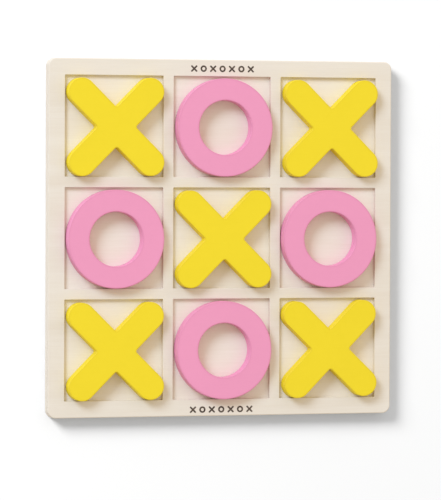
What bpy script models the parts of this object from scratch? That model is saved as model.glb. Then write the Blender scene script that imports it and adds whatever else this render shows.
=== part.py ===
"""Tic tac toe set in painted and natural wood.

A square board is glued up from two plates: a plain base and, on top of it, a frame with nine
square windows, which make the nine recesses. Five crosses and four rings lie loose in the
recesses and stand proud of the frame, so that fingers can pick them up.

Units are metres. The origin is at the centre of the board's underside, +Z is up, +X runs
to the right and +Y to the far side of the board.
"""

from math import cos, pi, radians, sin, sqrt

import bmesh
import bpy

# ---- driving dimensions ------------------------------------------------------------------
BOARD_SIDE = 0.240          # square, over both plates
CORNER_RADIUS = 0.0055      # of the board, seen from above
BORDER_WIDTH = 0.0113       # from the board's side to the first window
BAR_WIDTH = 0.0071          # between two windows
BASE_THICKNESS = 0.0060     # glue line included
FRAME_THICKNESS = 0.0025
GLUE_LINE = 0.0003          # left free between the two plates, and under the loose pieces
EDGE_ROUND = 0.0008         # round-over along the board's outer edges
WINDOW_ARRIS = 0.0003       # edge broken around each window

PIECE_THICKNESS = 0.0090
PIECE_EDGE_ROUND = 0.0005
RING_SPAN = 0.0660          # outer diameter
RING_BORE = 0.0366
CROSS_SPAN = 0.0656         # side of the square around a cross
ARM_WIDTH = 0.0186
CROTCH_RADIUS = 0.0015      # inner corner between two arms

CELLS_ACROSS = 3

# How each piece lies in its recess: column from the left, row from the far side, how far it has
# slid from the recess's centre along X and Y in metres, and its turn about Z in degrees.
CROSSES = (
    (0, 0, 0.0000, -0.0007, 0.3),
    (2, 0, 0.0007, -0.0007, 0.2),
    (1, 1, 0.0002, -0.0007, 0.3),
    (0, 2, 0.0003, -0.0007, 0.3),
    (2, 2, 0.0003, -0.0005, 0.9),
)
RINGS = (
    (1, 0, 0.0005, -0.0006, 0.0),
    (0, 1, 0.0000, -0.0006, 40.0),
    (2, 1, -0.0002, -0.0006, -25.0),
    (1, 2, 0.0003, -0.0006, 75.0),
)

# ---- fineness of the round shapes --------------------------------------------------------
RING_SEGMENTS = 52
END_SEGMENTS = 10
CORNER_SEGMENTS = 6
CROTCH_SEGMENTS = 3
ROUND_STEPS = 2             # steps in an edge's round-over
BOARD_ROUND_STEPS = 3

# ---- worked out --------------------------------------------------------------------------
CELL_SIDE = (BOARD_SIDE - 2 * BORDER_WIDTH - (CELLS_ACROSS - 1) * BAR_WIDTH) / CELLS_ACROSS
CELL_PITCH = CELL_SIDE + BAR_WIDTH
BOARD_THICKNESS = BASE_THICKNESS + FRAME_THICKNESS


def clear_scene():
    """Start from a scene with no objects in it."""
    for old in list(bpy.data.objects):
        bpy.data.objects.remove(old, do_unlink=True)


def make_material(name, colour, roughness):
    """A Principled material of one colour, given as linear red, green and blue."""
    material = bpy.data.materials.new(name)
    material.use_nodes = True
    shader = material.node_tree.nodes["Principled BSDF"]
    shader.inputs["Base Color"].default_value = (*colour, 1.0)
    shader.inputs["Roughness"].default_value = roughness
    shader.inputs["Metallic"].default_value = 0.0
    return material


def arc(centre_x, centre_y, radius, start, end, segments):
    """Points along an arc, both ends included, angles in radians."""
    turns = [start + (end - start) * step / segments for step in range(segments + 1)]
    return [(centre_x + radius * cos(turn), centre_y + radius * sin(turn)) for turn in turns]


def rounded_square(side, radius, inset):
    """Outline of a square with round corners, moved in by the inset."""
    middle = side / 2 - radius
    points = []
    for quarter in range(4):
        start = quarter * pi / 2
        sign_x = 1 if quarter in (0, 3) else -1
        sign_y = 1 if quarter in (0, 1) else -1
        points += arc(sign_x * middle, sign_y * middle, radius - inset,
                      start, start + pi / 2, CORNER_SEGMENTS)
    return points


def circle(radius, segments):
    """Outline of a circle."""
    return arc(0.0, 0.0, radius, 0.0, 2 * pi, segments)[:-1]


def cross_outline(inset):
    """Outline of two equal arms crossing at a right angle, with round ends, moved in by the inset.

    The arms run along the diagonals. Each quarter is one round end and the round inner
    corner that follows it.
    """
    half_width = ARM_WIDTH / 2
    reach = (CROSS_SPAN / 2 - half_width) * sqrt(2)
    crotch = (half_width + CROTCH_RADIUS) * sqrt(2)
    points = []
    for quarter in range(4):
        along = pi / 4 + quarter * pi / 2
        points += arc(reach * cos(along), reach * sin(along), half_width - inset,
                      along - pi / 2, along + pi / 2, END_SEGMENTS)
        between = along + pi / 4
        points += arc(crotch * cos(between), crotch * sin(between), CROTCH_RADIUS + inset,
                      between + 5 * pi / 4, between + 3 * pi / 4, CROTCH_SEGMENTS)
    return points


def round_over(thickness, radius, steps):
    """Heights and insets, from bottom to top, of a plate whose edges are rounded."""
    turns = [pi / 2 * step / steps for step in range(steps + 1)]
    lower = [(radius * (1 - sin(turn)), radius * (1 - cos(turn))) for turn in reversed(turns)]
    upper = [(thickness - height, inset) for height, inset in reversed(lower)]
    return lower + upper


def loft(loops, close_ring=False):
    """A closed mesh through a stack of outlines with the same number of points.

    The first and last loops get a cap each, or, for a ring, are joined to each other.
    """
    mesh = bmesh.new()
    rows = [[mesh.verts.new(point) for point in loop] for loop in loops]
    count = len(rows[0])
    pairs = list(zip(rows, rows[1:]))
    if close_ring:
        pairs.append((rows[-1], rows[0]))
    for lower, upper in pairs:
        for index in range(count):
            after = (index + 1) % count
            mesh.faces.new((lower[index], lower[after], upper[after], upper[index]))
    if not close_ring:
        mesh.faces.new(list(reversed(rows[0])))
        mesh.faces.new(rows[-1])
    bmesh.ops.recalc_face_normals(mesh, faces=mesh.faces)
    return mesh


def add_object(name, mesh, material, smooth_angle=35.0):
    """Put a bmesh into the scene as a named object."""
    data = bpy.data.meshes.new(name)
    mesh.to_mesh(data)
    mesh.free()
    data.shade_smooth()
    data.set_sharp_from_angle(angle=radians(smooth_angle))
    if material is not None:
        data.materials.append(material)
    made = bpy.data.objects.new(name, data)
    bpy.context.collection.objects.link(made)
    return made


def plate(outline, bottom, levels):
    """A flat plate: its outline at each height and inset, standing on the height bottom."""
    return loft([[(x, y, bottom + height) for x, y in outline(inset)] for height, inset in levels])


def cell_centre(column, row):
    """Centre of a recess; column 0 is at the left and row 0 at the far side."""
    middle = (CELLS_ACROSS - 1) / 2
    return (column - middle) * CELL_PITCH, (middle - row) * CELL_PITCH


def board_outline(inset):
    """The board's outline seen from above."""
    return rounded_square(BOARD_SIDE, CORNER_RADIUS, inset)


def make_base(wood):
    """The plain bottom plate, rounded along its lower edge."""
    thickness = BASE_THICKNESS - GLUE_LINE
    levels = round_over(thickness, EDGE_ROUND, BOARD_ROUND_STEPS)[:BOARD_ROUND_STEPS + 1]
    levels.append((thickness, 0.0))
    return add_object("base_board", plate(board_outline, 0.0, levels), wood)


def make_window_cutter():
    """Nine square plugs that flare at the top, so that the cut also breaks the windows' edges."""
    overshoot = 0.001
    half = CELL_SIDE / 2
    top = BOARD_THICKNESS
    levels = (
        (BASE_THICKNESS - overshoot, half),
        (top - WINDOW_ARRIS, half),
        (top + overshoot, half + WINDOW_ARRIS + overshoot),
    )
    joined = bmesh.new()
    for row in range(CELLS_ACROSS):
        for column in range(CELLS_ACROSS):
            x, y = cell_centre(column, row)
            loops = [[(x + sx * reach, y + sy * reach, height)
                      for sx, sy in ((1, 1), (-1, 1), (-1, -1), (1, -1))]
                     for height, reach in levels]
            plug = loft(loops)
            data = bpy.data.meshes.new("window_plug")
            plug.to_mesh(data)
            plug.free()
            joined.from_mesh(data)
            bpy.data.meshes.remove(data)
    cutter = add_object("window_cutter", joined, None)
    cutter.hide_render = True
    cutter.display_type = "WIRE"
    return cutter


def make_frame(wood, cutter):
    """The thin top plate with nine windows, rounded along its upper edge."""
    levels = round_over(FRAME_THICKNESS, EDGE_ROUND, BOARD_ROUND_STEPS)[BOARD_ROUND_STEPS + 1:]
    levels.insert(0, (0.0, 0.0))
    frame = add_object("grid_frame", plate(board_outline, BASE_THICKNESS, levels), wood)
    cut = frame.modifiers.new("windows", "BOOLEAN")
    cut.operation = "DIFFERENCE"
    cut.solver = "EXACT"
    cut.object = cutter
    return frame


def ring_mesh():
    """A ring lying flat: a square section with rounded corners, turned about Z."""
    edges = round_over(PIECE_THICKNESS, PIECE_EDGE_ROUND, ROUND_STEPS)
    outer = [(height, RING_SPAN / 2 - inset) for height, inset in edges]
    inner = [(height, RING_BORE / 2 + inset) for height, inset in reversed(edges)]
    loops = [[(x, y, height) for x, y in circle(radius, RING_SEGMENTS)]
             for height, radius in outer + inner]
    return loft(loops, close_ring=True)


def cross_mesh():
    """A cross lying flat."""
    return plate(cross_outline, 0.0, round_over(PIECE_THICKNESS, PIECE_EDGE_ROUND, ROUND_STEPS))


def place(piece, column, row, slide_x, slide_y, turn):
    """Lay a loose piece in its recess."""
    x, y = cell_centre(column, row)
    piece.location = (x + slide_x, y + slide_y, BASE_THICKNESS)
    piece.rotation_euler = (0.0, 0.0, radians(turn))


def make_pieces(prefix, build_mesh, places, paint):
    """One object for each loose piece, numbered from 1 in reading order."""
    for number, spot in enumerate(places, start=1):
        place(add_object(f"{prefix}_{number}", build_mesh(), paint), *spot)


def main():
    clear_scene()
    wood = make_material("birch", (0.85, 0.74, 0.61), 0.55)
    yellow = make_material("yellow_paint", (0.91, 0.72, 0.03), 0.45)
    pink = make_material("pink_paint", (0.87, 0.32, 0.51), 0.45)
    make_base(wood)
    make_frame(wood, make_window_cutter())
    make_pieces("cross", cross_mesh, CROSSES, yellow)
    make_pieces("ring", ring_mesh, RINGS, pink)


main()
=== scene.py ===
"""Looks of the tic tac toe set: birch plywood board, painted crosses and rings, studio light.

Lengths are metres. The frame is the CAD model's: the origin is at the centre of the board's
underside, +Z is up, +X runs to the right and +Y to the far side.
"""

from math import cos, pi, radians, sin, sqrt, tan

import bmesh
import bpy
import numpy as np
from mathutils import Matrix, Vector


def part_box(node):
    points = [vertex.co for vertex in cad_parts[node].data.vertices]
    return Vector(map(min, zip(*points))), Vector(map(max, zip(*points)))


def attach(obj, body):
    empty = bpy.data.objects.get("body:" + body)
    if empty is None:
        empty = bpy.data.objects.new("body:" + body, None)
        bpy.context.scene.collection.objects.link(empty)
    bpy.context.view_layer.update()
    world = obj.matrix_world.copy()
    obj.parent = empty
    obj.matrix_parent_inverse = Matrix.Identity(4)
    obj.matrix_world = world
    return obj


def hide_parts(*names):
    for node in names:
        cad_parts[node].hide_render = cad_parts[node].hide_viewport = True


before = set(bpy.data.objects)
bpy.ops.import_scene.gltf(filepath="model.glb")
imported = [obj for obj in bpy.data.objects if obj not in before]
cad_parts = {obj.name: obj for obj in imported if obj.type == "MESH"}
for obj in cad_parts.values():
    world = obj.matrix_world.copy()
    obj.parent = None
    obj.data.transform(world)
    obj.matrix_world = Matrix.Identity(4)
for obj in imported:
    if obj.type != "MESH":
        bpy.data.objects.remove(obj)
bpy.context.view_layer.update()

MM = 0.001

# ---- shapes, to the CAD model's design -----------------------------------------------------
CORNER_RADIUS = 5.5 * MM
BORDER_WIDTH = 11.3 * MM
BAR_WIDTH = 7.1 * MM
EDGE_ROUND = 0.8 * MM
WINDOW_ARRIS = 0.3 * MM
WINDOW_CORNER = 0.45 * MM
PIECE_EDGE_ROUND = 0.5 * MM
RING_SPAN = 66.0 * MM
RING_BORE = 36.6 * MM
CROSS_SPAN = 65.6 * MM
ARM_WIDTH = 18.6 * MM
CROTCH_RADIUS = 1.5 * MM
CELLS_ACROSS = 3

JOINT_LINE = 0.04 * MM      # fine line that shows where the two plates meet
JOINT_ARRIS = 0.12 * MM     # each plate's edge is broken there

# ---- printed ornament ----------------------------------------------------------------------
MARK_COUNT = 7
MARK_PITCH = 6.6 * MM
MARK_SPAN = 4.4 * MM
MARK_STROKE = 1.15 * MM
MARK_CROTCH_RADIUS = 0.05 * MM
FAR_ORNAMENT_FROM_EDGE = 6.2 * MM
NEAR_ORNAMENT_FROM_EDGE = 4.4 * MM
INK_HEIGHT = 0.03 * MM
INK_CLEARANCE = 0.2 * INK_HEIGHT      # keeps the underside of the ink off the wood

# ---- plywood, veneer thicknesses from the top of each plate down ---------------------------
FRAME_VENEERS = (0.6 * MM, 1.3 * MM, 0.6 * MM)
BASE_VENEERS = (0.8 * MM, 1.4 * MM, 1.6 * MM, 1.4 * MM, 0.8 * MM)
GLUE_HALF = 0.05 * MM       # half a glue line's thickness
GLUE_CORE = 0.4             # share of it that is fully dark

# ---- fineness of the round shapes ----------------------------------------------------------
BOARD_SEGMENTS = 16
WINDOW_SEGMENTS = 4
PLATE_ROUND_STEPS = 8
WINDOW_ROUND_STEPS = 3
RING_SEGMENTS = 144
ARM_END_SEGMENTS = 22
CROTCH_SEGMENTS = 6
PIECE_ROUND_STEPS = 6
MARK_RING_SEGMENTS = 40
MARK_END_SEGMENTS = 8
MARK_CROTCH_SEGMENTS = 2
SHARP_ANGLE = radians(50)

# ---- rim of the painted pieces: loops on the flat face, by inset, and the painted shade at each ---
RIM_INSETS = (0.7 * MM, 1.1 * MM, 1.7 * MM)
RIM_SHADE = (0.5, 0.2, 0.0)

# ---- colours, linear -----------------------------------------------------------------------
BIRCH = (0.765, 0.708, 0.618)
BIRCH_DARK = (0.697, 0.618, 0.508)
BIRCH_END = (0.560, 0.425, 0.285)
BASE_PAINTED_LIGHT = 1.06                      # painted light: the base plate's faces are a little paler than the frame's, to lift the shade in the windows' recesses
GLUE = (0.240, 0.160, 0.095)
YELLOW = (0.830, 0.645, 0.008)
# painted shade for the rounded edges of the pieces, deeper than the paint, to tone down their
# highlight
YELLOW_SHADED_EDGE = (0.700, 0.520, 0.007)
PINK = (0.795, 0.297, 0.468)
PINK_SHADED_EDGE = (0.660, 0.225, 0.365)
DEEP_PAINT = 0.96                     # tone of the paint where it lies thickest
INK = (0.050, 0.032, 0.022)
FLOOR = (0.665, 0.735, 0.846)         # greys out under the warm sky
FLOOR_HAZE = 0.9                      # tone of the floor's faint clouds

# ---- gloss -----------------------------------------------------------------------------------
BIRCH_ROUGHNESS = (0.50, 0.64)
PAINT_ROUGHNESS = (0.54, 0.66)
INK_ROUGHNESS = (0.55, 0.70)
FLOOR_ROUGHNESS = 0.9
BIRCH_IOR = 1.42
PAINT_IOR = 1.46

# ---- textures: cells per metre along X, Y and Z ----------------------------------------------
WOOD_FIGURE = (5.0, 70.0, 70.0)
WOOD_FIBRE = (38.0, 1300.0, 1300.0)
WOOD_FLECK = (420.0, 4200.0, 4200.0)
CROSSED_FIBRE = (1300.0, 38.0, 1300.0)
END_PORES = (2400.0, 2400.0, 2400.0)
PAINT_CLOUD = (26.0, 26.0, 26.0)
PAINT_MOTTLE = (170.0, 170.0, 170.0)
PAINT_GRAIN = (45.0, 900.0, 900.0)
PAINT_PEEL = (1500.0, 1500.0, 1500.0)
PAINT_RIM_SHADE_PATCHES = (620.0, 620.0, 620.0)
YELLOW_GRAIN_TURN = 0.7               # radians about Z
PINK_GRAIN_TURN = -0.4
INK_FIBRE = (60.0, 2600.0, 2600.0)
FLOOR_CLOUD = (3.0, 3.0, 3.0)

# ---- relief: how high each texture stands ------------------------------------------------------
FIBRE_RELIEF = 0.06 * MM
PORE_RELIEF = 0.10 * MM
PAINT_GRAIN_RELIEF = 0.05 * MM
PEEL_RELIEF = 0.03 * MM

# ---- floor and camera --------------------------------------------------------------------------
FLOOR_RADIUS = 8.0
FLOOR_SEGMENTS = 64
FLOOR_DROP = 0.02 * MM                # below the board, so that the two don't share a plane
SENSOR = 36.0                         # millimetres, as the lens is
LENS = 240.5
CAMERA_DISTANCE = 2.250
CAMERA_FROM_LEFT = radians(16.0)
CAMERA_FROM_FAR = radians(1.4)
CAMERA_ROLL = radians(0.23)
CAMERA_REACH = 50.0
AIM = Vector((-1.1 * MM, -8.1 * MM, 9.0 * MM))      # the camera looks at this point

# ---- light: a large soft key for the set, one like it for the floor, and a warm sky --------------
SET_KEY_FROM = Vector((-1.05, 0.98, 1.0)).normalized()
SET_KEY_COLOUR = (0.63, 0.78, 1.0)
SET_KEY_POWER = 166.0
FLOOR_KEY_FROM = Vector((-1.36, 1.13, 1.0)).normalized()
FLOOR_KEY_POWER = 298.0
KEY_DISTANCE = 4.5
KEY_SIZE = 1.9
SKY_COLOUR = (1.0, 0.905, 0.786)
SKY_STRENGTH = 0.83
SKY_LEAN = (0.22, 0.34, 0.0)          # share by which it is brighter at +X and at +Y


# ============================================================================================
# Outlines and meshes
# ============================================================================================
def arc(centre, radius, start, end, segments):
    """Points along an arc, both ends included, angles in radians."""
    turns = [start + (end - start) * step / segments for step in range(segments + 1)]
    return [(centre[0] + radius * cos(turn), centre[1] + radius * sin(turn)) for turn in turns]


def rounded_square(side, radius, inset, segments):
    """Outline of a square with round corners about the origin, moved in by the inset."""
    middle = side / 2 - radius
    points = []
    for quarter in range(4):
        start = quarter * pi / 2
        sign_x = 1 if quarter in (0, 3) else -1
        sign_y = 1 if quarter in (0, 1) else -1
        centre = (sign_x * middle, sign_y * middle)
        points += arc(centre, radius - inset, start, start + pi / 2, segments)
    return points


def circle(radius, segments):
    """Outline of a circle about the origin."""
    return arc((0.0, 0.0), radius, 0.0, 2 * pi, segments)[:-1]


def cross_outline(span, width, crotch_radius, inset, end_segments, crotch_segments):
    """Outline of two crossing arms with round ends, along the diagonals, moved in by the inset."""
    half = width / 2
    reach = (span / 2 - half) * sqrt(2)
    crotch = (half + crotch_radius) * sqrt(2)
    points = []
    for quarter in range(4):
        along = pi / 4 + quarter * pi / 2
        end = (reach * cos(along), reach * sin(along))
        points += arc(end, half - inset, along - pi / 2, along + pi / 2, end_segments)
        between = along + pi / 4
        inner = (crotch * cos(between), crotch * sin(between))
        points += arc(inner, crotch_radius + inset,
                      between + 5 * pi / 4, between + 3 * pi / 4, crotch_segments)
    return points


def quarter_round(radius, steps):
    """(depth, inset) pairs of a round-over, from its foot on the side to its end on the face."""
    turns = [pi / 2 * step / steps for step in range(steps + 1)]
    return [(radius * (1 - sin(turn)), radius * (1 - cos(turn))) for turn in turns]


def moved(outline, x, y, z, turn=0.0):
    """An outline turned about Z, moved to (x, y) and set at height z."""
    along, across = cos(turn), sin(turn)
    return [(x + px * along - py * across, y + px * across + py * along, z) for px, py in outline]


def add_band(mesh, lower, upper):
    """Quads between two loops with the same number of points."""
    count = len(lower)
    for index in range(count):
        after = (index + 1) % count
        mesh.faces.new((lower[index], lower[after], upper[after], upper[index]))


def add_stack(mesh, loops, capped=True, closed=False):
    """A tube of bands through loops of points; returns its loops as vertices.

    Its ends get a cap each. A closed one has no ends: its last loop joins its first.
    """
    rows = [[mesh.verts.new(point) for point in points] for points in loops]
    pairs = list(zip(rows, rows[1:]))
    if closed:
        pairs.append((rows[-1], rows[0]))
    for lower, upper in pairs:
        add_band(mesh, lower, upper)
    if capped and not closed:
        mesh.faces.new(list(reversed(rows[0])))
        mesh.faces.new(rows[-1])
    return rows


def fill_between(mesh, loops):
    """A flat face inside the first loop, with the others as holes in it."""
    edges = []
    for loop in loops:
        for index, vertex in enumerate(loop):
            edges.append(mesh.edges.get((vertex, loop[(index + 1) % len(loop)])))
    bmesh.ops.triangle_fill(mesh, use_beauty=True, use_dissolve=False, edges=edges)


def finish_piece(name, mesh, material, body, replaced=None):
    """Turn a bmesh into a piece of the object that rides on a CAD body."""
    bmesh.ops.recalc_face_normals(mesh, faces=mesh.faces)
    data = bpy.data.meshes.new(name)
    mesh.to_mesh(data)
    mesh.free()
    data.shade_smooth()
    data.set_sharp_from_angle(angle=SHARP_ANGLE)
    data.materials.append(material)
    piece = bpy.data.objects.new(name, data)
    bpy.context.scene.collection.objects.link(piece)
    weighted = piece.modifiers.new("face_weighted_normals", "WEIGHTED_NORMAL")
    weighted.keep_sharp = True
    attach(piece, body)
    if replaced:
        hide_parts(replaced)
    return piece


# ============================================================================================
# Materials
# ============================================================================================
class Graph:
    """Short calls for building a material's nodes."""

    def __init__(self, name):
        self.material = bpy.data.materials.new(name)
        self.material.use_nodes = True
        self.nodes = self.material.node_tree.nodes
        self.links = self.material.node_tree.links
        self.shader = self.nodes["Principled BSDF"]
        self.coordinates = self.nodes.new("ShaderNodeTexCoord")

    def feed(self, socket, value):
        """Link a node's output to a socket, or set the socket to a number or a colour."""
        if isinstance(value, bpy.types.NodeSocket):
            self.links.new(value, socket)
        elif isinstance(value, tuple) and len(value) == 3 and socket.type == "RGBA":
            socket.default_value = (*value, 1.0)
        else:
            socket.default_value = value

    def shade(self, name, value):
        """Feed one of the shader's sockets."""
        self.feed(self.shader.inputs[name], value)

    def math(self, operation, first, second=0.0, clamp=False):
        made = self.nodes.new("ShaderNodeMath")
        made.operation = operation
        made.use_clamp = clamp
        self.feed(made.inputs[0], first)
        self.feed(made.inputs[1], second)
        return made.outputs[0]

    def mix(self, factor, first, second):
        made = self.nodes.new("ShaderNodeMix")
        made.data_type = "RGBA"
        self.feed(made.inputs["Factor"], factor)
        self.feed(made.inputs["A"], first)
        self.feed(made.inputs["B"], second)
        return made.outputs["Result"]

    def noise(self, scale, detail=3.0, roughness=0.5, distortion=0.0, turn=0.0):
        """Noise over the object's coordinates, scaled along each axis and turned about Z."""
        placed = self.nodes.new("ShaderNodeMapping")
        placed.inputs["Scale"].default_value = scale
        placed.inputs["Rotation"].default_value = (0.0, 0.0, turn)
        self.links.new(self.coordinates.outputs["Object"], placed.inputs["Vector"])
        made = self.nodes.new("ShaderNodeTexNoise")
        self.links.new(placed.outputs["Vector"], made.inputs["Vector"])
        made.inputs["Scale"].default_value = 1.0
        made.inputs["Detail"].default_value = detail
        made.inputs["Roughness"].default_value = roughness
        made.inputs["Distortion"].default_value = distortion
        return made.outputs["Fac"]

    def spread(self, value, low, high, to_low=0.0, to_high=1.0):
        """Map a value from low..high to to_low..to_high, clamped."""
        made = self.nodes.new("ShaderNodeMapRange")
        self.feed(made.inputs["Value"], value)
        for name, number in (("From Min", low), ("From Max", high),
                             ("To Min", to_low), ("To Max", to_high)):
            made.inputs[name].default_value = number
        return made.outputs["Result"]

    def attribute(self, name):
        made = self.nodes.new("ShaderNodeAttribute")
        made.attribute_name = name
        return made.outputs["Fac"]

    def axis(self, output, index):
        """One axis of the object's coordinates or of the normal: 0 is X, 1 is Y and 2 is Z."""
        made = self.nodes.new("ShaderNodeSeparateXYZ")
        self.links.new(self.coordinates.outputs[output], made.inputs["Vector"])
        return made.outputs[index]

    def bump(self, height, distance, strength, below=None):
        made = self.nodes.new("ShaderNodeBump")
        made.inputs["Distance"].default_value = distance
        made.inputs["Strength"].default_value = strength
        self.feed(made.inputs["Height"], height)
        if below is not None:
            self.links.new(below, made.inputs["Normal"])
        return made.outputs["Normal"]


def toned(colour, tone):
    """A colour made paler or deeper by a factor."""
    return tuple(part * tone for part in colour)


def veneer_masks(graph, top, veneers):
    """Masks of the crossed veneers, whose grain runs along Y, and of the glue lines."""
    depth = graph.math("SUBTRACT", top, graph.axis("Object", 2))
    crossed, glue, below = 0.0, 0.0, 0.0
    for number, thickness in enumerate(veneers[:-1]):
        below += thickness
        past = graph.math("GREATER_THAN", depth, below)
        crossed = graph.math("SUBTRACT" if number % 2 else "ADD", crossed, past)
        off_line = graph.math("ABSOLUTE", graph.math("SUBTRACT", depth, below))
        line = graph.spread(off_line, GLUE_HALF * GLUE_CORE, GLUE_HALF, 1.0, 0.0)
        glue = graph.math("MAXIMUM", glue, line)
    return crossed, glue


def end_grain_mask(graph, crossed):
    """Mask of the sides that cut across their veneer's grain."""
    facing_x = graph.math("POWER", graph.axis("Normal", 0), 2.0)
    facing_y = graph.math("POWER", graph.axis("Normal", 1), 2.0)
    along_x = graph.math("MULTIPLY", facing_x, graph.math("SUBTRACT", 1.0, crossed))
    along_y = graph.math("MULTIPLY", facing_y, crossed)
    return graph.math("ADD", along_x, along_y, clamp=True)


def plywood(name, top, veneers, tone=1.0):
    """Sanded birch plywood: faces with grain along X, and its veneers along the edges."""
    graph = Graph(name)
    crossed, glue = veneer_masks(graph, top, veneers)
    end_grain = end_grain_mask(graph, crossed)
    figure = graph.noise(WOOD_FIGURE, 4.0, 0.55, 0.6)
    fibre = graph.noise(WOOD_FIBRE, 3.0, 0.6)
    fleck = graph.noise(WOOD_FLECK, 1.0)
    crossed_fibre = graph.noise(CROSSED_FIBRE, 3.0, 0.6)
    pores = graph.noise(END_PORES, 2.0)

    grain = graph.math("ADD", graph.spread(figure, 0.35, 0.68, 0.0, 0.50),
                       graph.spread(fibre, 0.32, 0.70, 0.0, 0.28))
    colour = graph.mix(grain, toned(BIRCH, tone), toned(BIRCH_DARK, tone))
    colour = graph.mix(graph.spread(fleck, 0.70, 0.78, 0.0, 0.22), colour, BIRCH_END)
    side = graph.mix(graph.spread(crossed_fibre, 0.3, 0.7), BIRCH, BIRCH_DARK)
    long_side = graph.math("MULTIPLY", crossed, graph.math("SUBTRACT", 1.0, end_grain))
    colour = graph.mix(long_side, colour, side)
    ends = graph.mix(graph.spread(pores, 0.35, 0.65), BIRCH_DARK, BIRCH_END)
    colour = graph.mix(graph.math("MULTIPLY", end_grain, 0.75), colour, ends)
    colour = graph.mix(graph.math("MULTIPLY", glue, 0.55), colour, GLUE)

    raised = graph.bump(fibre, FIBRE_RELIEF, 0.35)
    raised = graph.bump(graph.math("MULTIPLY", pores, end_grain), PORE_RELIEF, 0.5, raised)
    graph.shade("Base Color", colour)
    graph.shade("Roughness", graph.spread(fibre, 0.3, 0.7, *BIRCH_ROUGHNESS))
    graph.shade("IOR", BIRCH_IOR)
    graph.shade("Normal", raised)
    return graph.material


def painted_wood(name, colour, edge, grain_turn):
    """Even satin paint over sanded wood: faint clouds and grain, and painted shade on the edges."""
    graph = Graph(name)
    cloud = graph.noise(PAINT_CLOUD, 2.0)
    mottle = graph.noise(PAINT_MOTTLE, 4.0, 0.6)
    grain = graph.noise(PAINT_GRAIN, 3.0, 0.6, 0.3, grain_turn)
    peel = graph.noise(PAINT_PEEL, 2.0)
    rim_shade_patches = graph.noise(PAINT_RIM_SHADE_PATCHES, 1.0)

    depth = graph.math("ADD", graph.spread(cloud, 0.3, 0.7, 0.0, 0.5),
                       graph.spread(mottle, 0.3, 0.7, 0.0, 0.35))
    depth = graph.math("ADD", depth, graph.spread(grain, 0.45, 0.75, 0.0, 0.25), clamp=True)
    paint = graph.mix(depth, colour, toned(colour, DEEP_PAINT))
    # painted shade: the rim weights, a little patchy, deepen the edges to tone down their highlight
    rim_shade_mask = graph.math("MULTIPLY", graph.attribute("rim"),
                      graph.spread(rim_shade_patches, 0.40, 0.64, 0.60, 0.80))
    paint = graph.mix(rim_shade_mask, paint, edge)

    raised = graph.bump(grain, PAINT_GRAIN_RELIEF, 0.30)
    raised = graph.bump(peel, PEEL_RELIEF, 0.35, raised)
    graph.shade("Base Color", paint)
    graph.shade("Roughness", graph.spread(mottle, 0.3, 0.7, *PAINT_ROUGHNESS))
    graph.shade("IOR", PAINT_IOR)
    graph.shade("Normal", raised)
    return graph.material


def printing_ink(name):
    """Matt ink that thins a little where the wood's fibres show through."""
    graph = Graph(name)
    fibre = graph.noise(INK_FIBRE, 2.0, 0.6)
    thin = graph.spread(fibre, 0.52, 0.72, 0.0, 0.35)
    graph.shade("Base Color", graph.mix(thin, INK, BIRCH_END))
    graph.shade("Roughness", graph.spread(fibre, 0.3, 0.7, *INK_ROUGHNESS))
    return graph.material


def floor_paper(name):
    """Matt pale paper with faint clouds."""
    graph = Graph(name)
    haze = graph.spread(graph.noise(FLOOR_CLOUD, 2.0), 0.3, 0.7, 0.0, 0.02)
    graph.shade("Base Color", graph.mix(haze, FLOOR, toned(FLOOR, FLOOR_HAZE)))
    graph.shade("Roughness", FLOOR_ROUGHNESS)
    graph.shade("Specular IOR Level", 0.0)
    return graph.material


# ============================================================================================
# Board
# ============================================================================================
board_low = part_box("base_board")[0]
frame_low, frame_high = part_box("grid_frame")
BOARD_SIDE = frame_high.x - frame_low.x
FRAME_BOTTOM, FRAME_TOP = frame_low.z, frame_high.z
BASE_TOP = FRAME_BOTTOM - JOINT_LINE
CELL_SIDE = (BOARD_SIDE - 2 * BORDER_WIDTH - (CELLS_ACROSS - 1) * BAR_WIDTH) / CELLS_ACROSS
CELL_PITCH = CELL_SIDE + BAR_WIDTH


def cell_centres():
    middle = (CELLS_ACROSS - 1) / 2
    for row in range(CELLS_ACROSS):
        for column in range(CELLS_ACROSS):
            yield (column - middle) * CELL_PITCH, (middle - row) * CELL_PITCH


def board_loop(height, inset):
    outline = rounded_square(BOARD_SIDE, CORNER_RADIUS, inset, BOARD_SEGMENTS)
    return moved(outline, 0.0, 0.0, height)


def window_loop(x, y, height, growth):
    outline = rounded_square(CELL_SIDE, WINDOW_CORNER, -growth, WINDOW_SEGMENTS)
    return moved(outline, x, y, height)


def build_base(material):
    """Bottom plate: rounded along its lower edge, its upper edge just broken."""
    rounding = reversed(quarter_round(EDGE_ROUND, PLATE_ROUND_STEPS))
    levels = [(board_low.z + depth, inset) for depth, inset in rounding]
    levels += [(BASE_TOP - JOINT_ARRIS, 0.0), (BASE_TOP, JOINT_ARRIS)]
    mesh = bmesh.new()
    add_stack(mesh, [board_loop(height, inset) for height, inset in levels])
    finish_piece("base_plate", mesh, material, "board", "base_board")


def build_frame(material):
    """Top plate with its windows: rounded outer edge, window edges finely broken."""
    rounding = quarter_round(EDGE_ROUND, PLATE_ROUND_STEPS)
    outside = [(FRAME_BOTTOM, JOINT_ARRIS), (FRAME_BOTTOM + JOINT_ARRIS, 0.0)]
    outside += [(FRAME_TOP - depth, inset) for depth, inset in rounding]
    breaking = quarter_round(WINDOW_ARRIS, WINDOW_ROUND_STEPS)
    window = [(FRAME_BOTTOM, 0.0)] + [(FRAME_TOP - depth, growth) for depth, growth in breaking]

    mesh = bmesh.new()
    rows = add_stack(mesh, [board_loop(height, inset) for height, inset in outside], capped=False)
    bottoms, tops = [rows[0]], [rows[-1]]
    for x, y in cell_centres():
        loops = [window_loop(x, y, height, growth) for height, growth in window]
        rows = add_stack(mesh, loops, capped=False)
        bottoms.append(rows[0])
        tops.append(rows[-1])
    fill_between(mesh, bottoms)
    fill_between(mesh, tops)
    finish_piece("window_plate", mesh, material, "board", "grid_frame")


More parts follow.
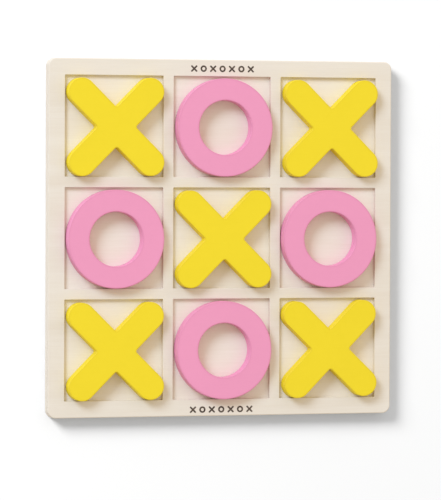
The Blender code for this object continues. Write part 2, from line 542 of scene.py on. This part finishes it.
def add_ring_mark(mesh, x, y, bottom, top):
    outer = circle(MARK_SPAN / 2, MARK_RING_SEGMENTS)
    inner = circle(MARK_SPAN / 2 - MARK_STROKE, MARK_RING_SEGMENTS)
    section = ((outer, bottom), (outer, top), (inner, top), (inner, bottom))
    add_stack(mesh, [moved(outline, x, y, height) for outline, height in section], closed=True)


def add_cross_mark(mesh, x, y, bottom, top):
    outline = cross_outline(MARK_SPAN, MARK_STROKE, MARK_CROTCH_RADIUS, 0.0,
                            MARK_END_SEGMENTS, MARK_CROTCH_SEGMENTS)
    add_stack(mesh, [moved(outline, x, y, height) for height in (bottom, top)])


def build_ornament(name, y, material):
    """A printed row of small crosses and rings, in turn."""
    mesh = bmesh.new()
    bottom, top = FRAME_TOP + INK_CLEARANCE, FRAME_TOP + INK_HEIGHT
    for number in range(MARK_COUNT):
        x = (number - (MARK_COUNT - 1) / 2) * MARK_PITCH
        add_mark = add_ring_mark if number % 2 else add_cross_mark
        add_mark(mesh, x, y, bottom, top)
    finish_piece(name, mesh, material, "board")


# ============================================================================================
# Loose pieces
# ============================================================================================
def piece_levels(low, high):
    """(height, inset, painted rim shade) from the underside's inmost rim loop, up the side, to the
    top's.
    """
    rounding = quarter_round(PIECE_EDGE_ROUND, PIECE_ROUND_STEPS)
    # painted shade on the rounded edge: none at its foot on the side, full where it meets the flat
    # face
    rim_shading = [sin(pi * step / (2 * PIECE_ROUND_STEPS)) for step in range(PIECE_ROUND_STEPS + 1)]
    upper = [(high - depth, inset, amount) for (depth, inset), amount in zip(rounding, rim_shading)]
    upper += [(high, inset, amount) for inset, amount in zip(RIM_INSETS, RIM_SHADE)]
    lower = [(low + high - height, inset, amount) for height, inset, amount in reversed(upper)]
    return lower + upper


def finish_painted(node, mesh, material, shading_by_vertex):
    """Finish a painted piece and keep its rim's painted shade, which the paint reads, with its
    points.
    """
    piece = finish_piece(f"painted_{node}", mesh, material, node, node)
    rim = piece.data.attributes.new("rim", "FLOAT", "POINT")
    rim.data.foreach_set("value", np.array(shading_by_vertex, dtype=np.float32))


def cross_turn(node):
    """A cross's turn about Z, from its arms' fourth-order direction about its centre."""
    low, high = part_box(node)
    centre = (low + high) / 2
    total = 0j
    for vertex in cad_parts[node].data.vertices:
        total += complex(vertex.co.x - centre.x, vertex.co.y - centre.y) ** 4
    return float(np.angle(-total)) / 4


def build_cross(node, material):
    low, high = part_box(node)
    middle = (low + high) / 2
    turn = cross_turn(node)
    loops, rim_shading = [], []
    for height, inset, amount in piece_levels(low.z, high.z):
        outline = cross_outline(CROSS_SPAN, ARM_WIDTH, CROTCH_RADIUS, inset,
                                ARM_END_SEGMENTS, CROTCH_SEGMENTS)
        loops.append(moved(outline, middle.x, middle.y, height, turn))
        rim_shading += [amount] * len(outline)
    mesh = bmesh.new()
    add_stack(mesh, loops)
    finish_painted(node, mesh, material, rim_shading)


def build_ring(node, material):
    low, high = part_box(node)
    middle = (low + high) / 2
    levels = piece_levels(low.z, high.z)
    section = [(RING_SPAN / 2 - inset, height, amount) for height, inset, amount in levels]
    section += [(RING_BORE / 2 + inset, height, amount) for height, inset, amount in reversed(levels)]
    loops, rim_shading = [], []
    for radius, height, amount in section:
        loops.append(moved(circle(radius, RING_SEGMENTS), middle.x, middle.y, height))
        rim_shading += [amount] * RING_SEGMENTS
    mesh = bmesh.new()
    add_stack(mesh, loops, closed=True)
    finish_painted(node, mesh, material, rim_shading)


# ============================================================================================
# Studio
# ============================================================================================
def build_floor():
    mesh = bmesh.new()
    bmesh.ops.create_circle(mesh, cap_ends=True, segments=FLOOR_SEGMENTS, radius=FLOOR_RADIUS)
    data = bpy.data.meshes.new("studio_floor")
    mesh.to_mesh(data)
    mesh.free()
    data.materials.append(floor_paper("studio_floor"))
    floor = bpy.data.objects.new("studio_floor", data)
    floor.location.z = board_low.z - FLOOR_DROP
    bpy.context.scene.collection.objects.link(floor)
    return floor


def add_softbox(name, direction, colour, power):
    """A round softbox in a direction from the board, aimed at it."""
    data = bpy.data.lights.new(name, "AREA")
    data.shape = "DISK"
    data.size = KEY_SIZE
    data.color = colour
    data.energy = power
    softbox = bpy.data.objects.new(name, data)
    softbox.location = direction * KEY_DISTANCE
    softbox.rotation_euler = direction.to_track_quat("Z", "Y").to_euler()
    softbox.visible_camera = False
    bpy.context.scene.collection.objects.link(softbox)
    return softbox


def link_light(light, receiver, state):
    """Let a light reach only one object (INCLUDE), or all but that one (EXCLUDE)."""
    receivers = bpy.data.collections.new(f"{light.name}_receivers")
    receivers.objects.link(receiver)
    receivers.collection_objects[0].light_linking.link_state = state
    light.light_linking.receiver_collection = receivers


def build_sky():
    """A warm sky that is brighter towards the right and the far side."""
    world = bpy.data.worlds.new("studio")
    world.use_nodes = True
    nodes, links = world.node_tree.nodes, world.node_tree.links
    coordinates = nodes.new("ShaderNodeTexCoord")
    lean = nodes.new("ShaderNodeVectorMath")
    lean.operation = "DOT_PRODUCT"
    links.new(coordinates.outputs["Generated"], lean.inputs[0])
    lean.inputs[1].default_value = SKY_LEAN
    strength = nodes.new("ShaderNodeMath")
    strength.operation = "MULTIPLY_ADD"
    links.new(lean.outputs["Value"], strength.inputs[0])
    strength.inputs[1].default_value = SKY_STRENGTH
    strength.inputs[2].default_value = SKY_STRENGTH
    background = nodes["Background"]
    background.inputs["Color"].default_value = (*SKY_COLOUR, 1.0)
    links.new(strength.outputs["Value"], background.inputs["Strength"])
    bpy.context.scene.world = world


def build_light(floor):
    set_key = add_softbox("set_key", SET_KEY_FROM, SET_KEY_COLOUR, SET_KEY_POWER)
    floor_key = add_softbox("floor_key", FLOOR_KEY_FROM, SKY_COLOUR, FLOOR_KEY_POWER)
    link_light(set_key, floor, "EXCLUDE")
    link_light(floor_key, floor, "INCLUDE")
    build_sky()
    bpy.context.scene.view_settings.view_transform = "Standard"


def build_camera():
    data = bpy.data.cameras.new("camera")
    data.lens = LENS
    data.sensor_width = SENSOR
    data.clip_end = CAMERA_REACH
    camera = bpy.data.objects.new("camera", data)
    back = Vector((-tan(CAMERA_FROM_LEFT), tan(CAMERA_FROM_FAR), 1.0)).normalized()
    camera.location = AIM + back * CAMERA_DISTANCE
    right = Vector((0.0, 1.0, 0.0)).cross(back).normalized()
    upright = Matrix((right, back.cross(right), back)).transposed()
    camera.rotation_euler = (upright @ Matrix.Rotation(CAMERA_ROLL, 3, "Z")).to_euler()
    bpy.context.scene.collection.objects.link(camera)
    bpy.context.scene.camera = camera


# ============================================================================================
# The whole scene
# ============================================================================================
ink = printing_ink("printing_ink")
yellow = painted_wood("yellow_paint", YELLOW, YELLOW_SHADED_EDGE, YELLOW_GRAIN_TURN)
pink = painted_wood("pink_paint", PINK, PINK_SHADED_EDGE, PINK_GRAIN_TURN)

# the base plate gets painted light: a paler tone that lifts the shade in the windows' recesses
build_base(plywood("base_plywood", BASE_TOP, BASE_VENEERS, BASE_PAINTED_LIGHT))
build_frame(plywood("frame_plywood", FRAME_TOP, FRAME_VENEERS))
build_ornament("ornament_far", BOARD_SIDE / 2 - FAR_ORNAMENT_FROM_EDGE, ink)
build_ornament("ornament_near", -BOARD_SIDE / 2 + NEAR_ORNAMENT_FROM_EDGE, ink)
for node in sorted(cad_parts):
    if node.startswith("cross_"):
        build_cross(node, yellow)
    elif node.startswith("ring_"):
        build_ring(node, pink)

build_light(build_floor())
build_camera()
